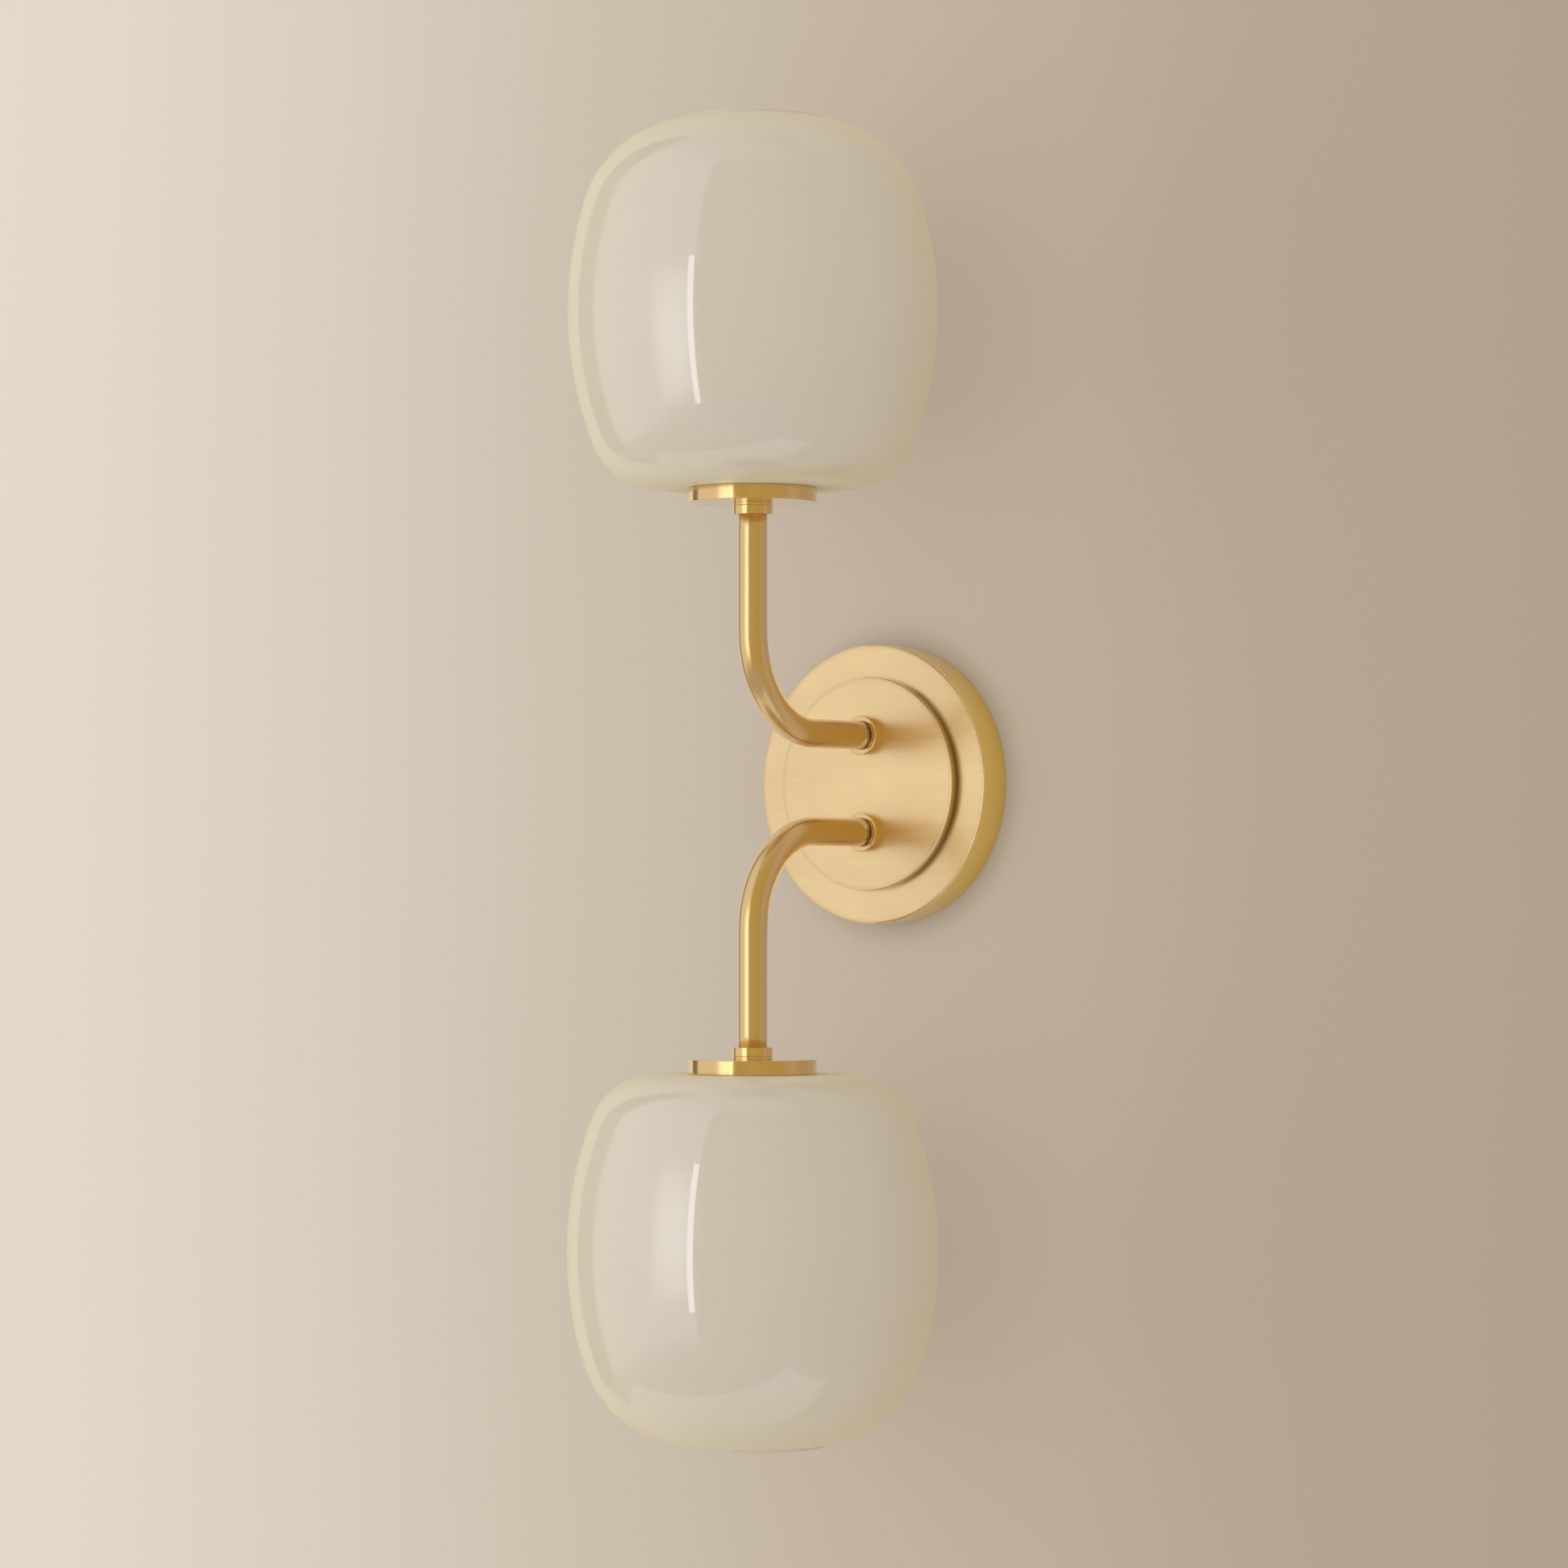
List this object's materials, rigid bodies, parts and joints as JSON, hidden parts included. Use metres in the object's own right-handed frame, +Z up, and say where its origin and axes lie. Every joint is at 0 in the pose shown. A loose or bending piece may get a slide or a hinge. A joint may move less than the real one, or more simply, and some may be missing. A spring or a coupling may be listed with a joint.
{
  "type": "double arm wall sconce",
  "caption": "Wall sconce: a round brass backplate, an arm bent up and an arm bent down, each ending in a flange with an open barrel shade of cream glass.",
  "frame": {"origin": "centre of the backplate, on the wall plane", "axes": "+Y into the wall, so the lamp stands out along -Y; +Z up along the arms' ends and the shades; +X to the right as one faces the wall"},
  "size_m": [0.164, 0.185, 0.587],
  "materials": {
    "brass": "satin brushed brass, clear lacquered",
    "glass": "cream cased opal glass, glossy, not clear",
    "steel": "zinc plated sheet steel",
    "zinc": "zinc plated steel",
    "ground_screw": "green dyed plating",
    "ground_lead": "green insulated wire",
    "black_lead": "black insulated wire",
    "white_lead": "white insulated wire",
    "connector": "moulded orange plastic",
    "seal": "translucent silicone rubber",
    "socket_moulding": "black phenolic moulding",
    "contact_brass": "bright pressed brass",
    "bulb_metal": "bright rolled metal",
    "bulb_insulator": "black vitreous insulator",
    "bulb_glass": "frosted white inside"
  },
  "bodies": {
    "fixture": {"arm_lock_nuts": "zinc", "arm_lock_washers": "zinc", "backplate": "brass", "ground_lead": "ground_lead", "ground_screw": "ground_screw", "lower_arm_sleeve": "brass", "lower_arm_tube": "brass", "lower_black_lead": "black_lead", "lower_centre_contact": "contact_brass", "lower_flange": "brass", "lower_lamp_nipple": "zinc", "lower_plate_collar": "brass", "lower_screw_shell": "contact_brass", "lower_seat_gasket": "seal", "lower_socket_body": "socket_moulding", "lower_socket_cap": "socket_moulding", "lower_terminals": "contact_brass", "lower_wall_nipple": "zinc", "lower_white_lead": "white_lead", "raised_disc": "brass", "set_screws": "zinc", "socket_nuts": "zinc", "upper_arm_sleeve": "brass", "upper_arm_tube": "brass", "upper_black_lead": "black_lead", "upper_centre_contact": "contact_brass", "upper_flange": "brass", "upper_lamp_nipple": "zinc", "upper_plate_collar": "brass", "upper_screw_shell": "contact_brass", "upper_seat_gasket": "seal", "upper_socket_body": "socket_moulding", "upper_socket_cap": "socket_moulding", "upper_terminals": "contact_brass", "upper_wall_nipple": "zinc", "upper_white_lead": "white_lead", "wall_bracket": "steel", "wire_nuts": "connector"},
    "upper_shade": {"upper_glass_shade": "glass"},
    "upper_washer": {"upper_ring_washer": "seal"},
    "upper_ring": {"upper_shade_ring": "socket_moulding"},
    "upper_bulb": {"upper_bulb_cap": "bulb_metal", "upper_bulb_insulator": "bulb_insulator", "upper_bulb_glass": "bulb_glass"},
    "lower_shade": {"lower_glass_shade": "glass"},
    "lower_washer": {"lower_ring_washer": "seal"},
    "lower_ring": {"lower_shade_ring": "socket_moulding"},
    "lower_bulb": {"lower_bulb_cap": "bulb_metal", "lower_bulb_insulator": "bulb_insulator", "lower_bulb_glass": "bulb_glass"}
  },
  "joints": [
    {"name": "upper_shade_lift", "type": "slide", "parent": "fixture", "child": "upper_shade", "axis": [0, 0, 1], "range_m": [0, 0.12]},
    {"name": "upper_ring_advance", "type": "slide", "parent": "upper_shade", "child": "upper_washer", "axis": [0, 0, 1], "range_m": [0, 0.0081]},
    {"name": "upper_ring_turn", "type": "hinge", "parent": "upper_washer", "child": "upper_ring", "pos_m": [0, -0.103, 0.1338], "axis": [0, 0, 1], "range_deg": [0, 1440]},
    {"name": "upper_bulb_out", "type": "slide", "parent": "fixture", "child": "upper_bulb", "axis": [0, 0, 1], "range_m": [0, 0.16]},
    {"name": "lower_shade_lift", "type": "slide", "parent": "fixture", "child": "lower_shade", "axis": [0, 0, -1], "range_m": [0, 0.12]},
    {"name": "lower_ring_advance", "type": "slide", "parent": "lower_shade", "child": "lower_washer", "axis": [0, 0, -1], "range_m": [0, 0.0081]},
    {"name": "lower_ring_turn", "type": "hinge", "parent": "lower_washer", "child": "lower_ring", "pos_m": [0, -0.103, -0.1338], "axis": [0, 0, -1], "range_deg": [0, 1440]},
    {"name": "lower_bulb_out", "type": "slide", "parent": "fixture", "child": "lower_bulb", "axis": [0, 0, -1], "range_m": [0, 0.16]}
  ],
  "couplings": [
    {"joint": "upper_ring_advance", "follows": "upper_ring_turn", "m_per_rad": 0.00031831},
    {"joint": "lower_ring_advance", "follows": "lower_ring_turn", "m_per_rad": 0.00031831}
  ]
}
